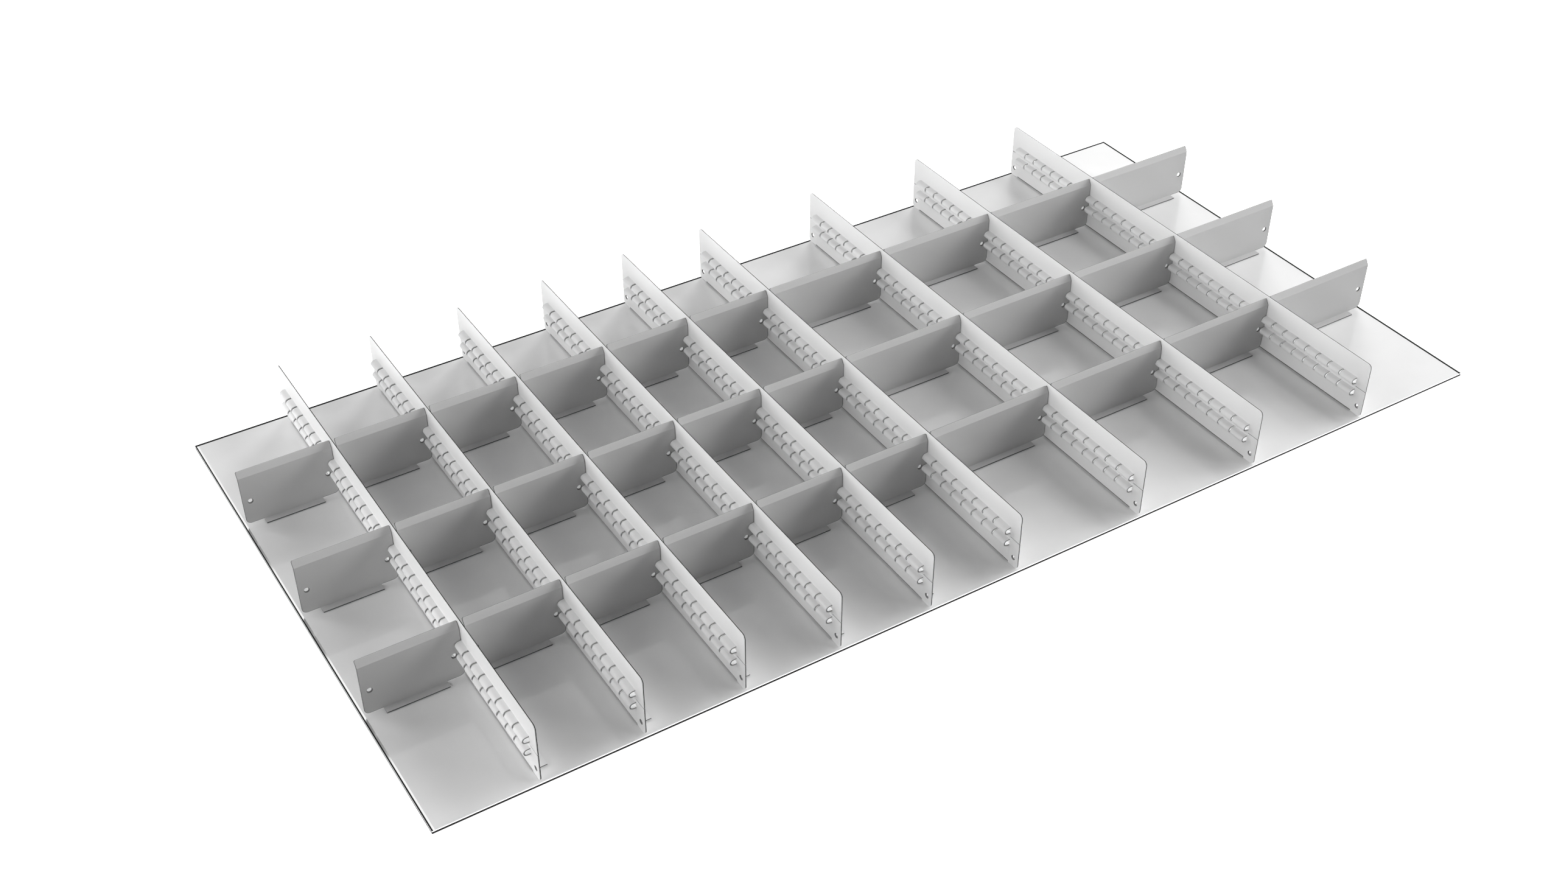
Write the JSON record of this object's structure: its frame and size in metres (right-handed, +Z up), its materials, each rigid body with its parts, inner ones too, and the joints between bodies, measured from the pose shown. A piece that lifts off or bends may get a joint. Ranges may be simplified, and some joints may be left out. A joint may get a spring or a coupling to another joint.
{
  "type": "drawer organizer insert",
  "caption": "Flat base sheet with slotted partition walls running front to back and short lift-out cross dividers between them, which split a drawer into rows of open cells.",
  "frame": {"origin": "middle of the base sheet, on its underside", "axes": "+X along the long side, from the end with the narrow cells to the end with the wide cells; +Y from the front edge to the back edge, which is the way the dividers' top lips lean; +Z up"},
  "size_m": [0.918, 0.459, 0.0533],
  "materials": {
    "base_coating": "smooth light grey coating, slightly glossy",
    "wall_coating": "light grey powder coat, satin",
    "divider_coating": "light grey powder coat, satin"
  },
  "bodies": {
    "base_and_walls": {"base_sheet": "base_coating", "wall_1": "wall_coating", "wall_2": "wall_coating", "wall_3": "wall_coating", "wall_4": "wall_coating", "wall_5": "wall_coating", "wall_6": "wall_coating", "wall_7": "wall_coating", "wall_8": "wall_coating", "wall_9": "wall_coating"},
    "divider_front_1": {"divider_front_1": "divider_coating"},
    "divider_front_2": {"divider_front_2": "divider_coating"},
    "divider_front_3": {"divider_front_3": "divider_coating"},
    "divider_front_4": {"divider_front_4": "divider_coating"},
    "divider_front_5": {"divider_front_5": "divider_coating"},
    "divider_front_6": {"divider_front_6": "divider_coating"},
    "divider_front_7": {"divider_front_7": "divider_coating"},
    "divider_front_8": {"divider_front_8": "divider_coating"},
    "divider_front_9": {"divider_front_9": "divider_coating"},
    "divider_front_10": {"divider_front_10": "divider_coating"},
    "divider_middle_1": {"divider_middle_1": "divider_coating"},
    "divider_middle_2": {"divider_middle_2": "divider_coating"},
    "divider_middle_3": {"divider_middle_3": "divider_coating"},
    "divider_middle_4": {"divider_middle_4": "divider_coating"},
    "divider_middle_5": {"divider_middle_5": "divider_coating"},
    "divider_middle_6": {"divider_middle_6": "divider_coating"},
    "divider_middle_7": {"divider_middle_7": "divider_coating"},
    "divider_middle_8": {"divider_middle_8": "divider_coating"},
    "divider_middle_9": {"divider_middle_9": "divider_coating"},
    "divider_middle_10": {"divider_middle_10": "divider_coating"},
    "divider_back_1": {"divider_back_1": "divider_coating"},
    "divider_back_2": {"divider_back_2": "divider_coating"},
    "divider_back_3": {"divider_back_3": "divider_coating"},
    "divider_back_4": {"divider_back_4": "divider_coating"},
    "divider_back_5": {"divider_back_5": "divider_coating"},
    "divider_back_6": {"divider_back_6": "divider_coating"},
    "divider_back_7": {"divider_back_7": "divider_coating"},
    "divider_back_8": {"divider_back_8": "divider_coating"},
    "divider_back_9": {"divider_back_9": "divider_coating"},
    "divider_back_10": {"divider_back_10": "divider_coating"}
  },
  "joints": [
    {"name": "lift_divider_front_1", "type": "slide", "parent": "base_and_walls", "child": "divider_front_1", "axis": [0, 0, 1], "range_m": [0, 0.055]},
    {"name": "lift_divider_front_2", "type": "slide", "parent": "base_and_walls", "child": "divider_front_2", "axis": [0, 0, 1], "range_m": [0, 0.055]},
    {"name": "lift_divider_front_3", "type": "slide", "parent": "base_and_walls", "child": "divider_front_3", "axis": [0, 0, 1], "range_m": [0, 0.055]},
    {"name": "lift_divider_front_4", "type": "slide", "parent": "base_and_walls", "child": "divider_front_4", "axis": [0, 0, 1], "range_m": [0, 0.055]},
    {"name": "lift_divider_front_5", "type": "slide", "parent": "base_and_walls", "child": "divider_front_5", "axis": [0, 0, 1], "range_m": [0, 0.055]},
    {"name": "lift_divider_front_6", "type": "slide", "parent": "base_and_walls", "child": "divider_front_6", "axis": [0, 0, 1], "range_m": [0, 0.055]},
    {"name": "lift_divider_front_7", "type": "slide", "parent": "base_and_walls", "child": "divider_front_7", "axis": [0, 0, 1], "range_m": [0, 0.055]},
    {"name": "lift_divider_front_8", "type": "slide", "parent": "base_and_walls", "child": "divider_front_8", "axis": [0, 0, 1], "range_m": [0, 0.055]},
    {"name": "lift_divider_front_9", "type": "slide", "parent": "base_and_walls", "child": "divider_front_9", "axis": [0, 0, 1], "range_m": [0, 0.055]},
    {"name": "lift_divider_front_10", "type": "slide", "parent": "base_and_walls", "child": "divider_front_10", "axis": [0, 0, 1], "range_m": [0, 0.055]},
    {"name": "lift_divider_middle_1", "type": "slide", "parent": "base_and_walls", "child": "divider_middle_1", "axis": [0, 0, 1], "range_m": [0, 0.055]},
    {"name": "lift_divider_middle_2", "type": "slide", "parent": "base_and_walls", "child": "divider_middle_2", "axis": [0, 0, 1], "range_m": [0, 0.055]},
    {"name": "lift_divider_middle_3", "type": "slide", "parent": "base_and_walls", "child": "divider_middle_3", "axis": [0, 0, 1], "range_m": [0, 0.055]},
    {"name": "lift_divider_middle_4", "type": "slide", "parent": "base_and_walls", "child": "divider_middle_4", "axis": [0, 0, 1], "range_m": [0, 0.055]},
    {"name": "lift_divider_middle_5", "type": "slide", "parent": "base_and_walls", "child": "divider_middle_5", "axis": [0, 0, 1], "range_m": [0, 0.055]},
    {"name": "lift_divider_middle_6", "type": "slide", "parent": "base_and_walls", "child": "divider_middle_6", "axis": [0, 0, 1], "range_m": [0, 0.055]},
    {"name": "lift_divider_middle_7", "type": "slide", "parent": "base_and_walls", "child": "divider_middle_7", "axis": [0, 0, 1], "range_m": [0, 0.055]},
    {"name": "lift_divider_middle_8", "type": "slide", "parent": "base_and_walls", "child": "divider_middle_8", "axis": [0, 0, 1], "range_m": [0, 0.055]},
    {"name": "lift_divider_middle_9", "type": "slide", "parent": "base_and_walls", "child": "divider_middle_9", "axis": [0, 0, 1], "range_m": [0, 0.055]},
    {"name": "lift_divider_middle_10", "type": "slide", "parent": "base_and_walls", "child": "divider_middle_10", "axis": [0, 0, 1], "range_m": [0, 0.055]},
    {"name": "lift_divider_back_1", "type": "slide", "parent": "base_and_walls", "child": "divider_back_1", "axis": [0, 0, 1], "range_m": [0, 0.055]},
    {"name": "lift_divider_back_2", "type": "slide", "parent": "base_and_walls", "child": "divider_back_2", "axis": [0, 0, 1], "range_m": [0, 0.055]},
    {"name": "lift_divider_back_3", "type": "slide", "parent": "base_and_walls", "child": "divider_back_3", "axis": [0, 0, 1], "range_m": [0, 0.055]},
    {"name": "lift_divider_back_4", "type": "slide", "parent": "base_and_walls", "child": "divider_back_4", "axis": [0, 0, 1], "range_m": [0, 0.055]},
    {"name": "lift_divider_back_5", "type": "slide", "parent": "base_and_walls", "child": "divider_back_5", "axis": [0, 0, 1], "range_m": [0, 0.055]},
    {"name": "lift_divider_back_6", "type": "slide", "parent": "base_and_walls", "child": "divider_back_6", "axis": [0, 0, 1], "range_m": [0, 0.055]},
    {"name": "lift_divider_back_7", "type": "slide", "parent": "base_and_walls", "child": "divider_back_7", "axis": [0, 0, 1], "range_m": [0, 0.055]},
    {"name": "lift_divider_back_8", "type": "slide", "parent": "base_and_walls", "child": "divider_back_8", "axis": [0, 0, 1], "range_m": [0, 0.055]},
    {"name": "lift_divider_back_9", "type": "slide", "parent": "base_and_walls", "child": "divider_back_9", "axis": [0, 0, 1], "range_m": [0, 0.055]},
    {"name": "lift_divider_back_10", "type": "slide", "parent": "base_and_walls", "child": "divider_back_10", "axis": [0, 0, 1], "range_m": [0, 0.055]}
  ]
}
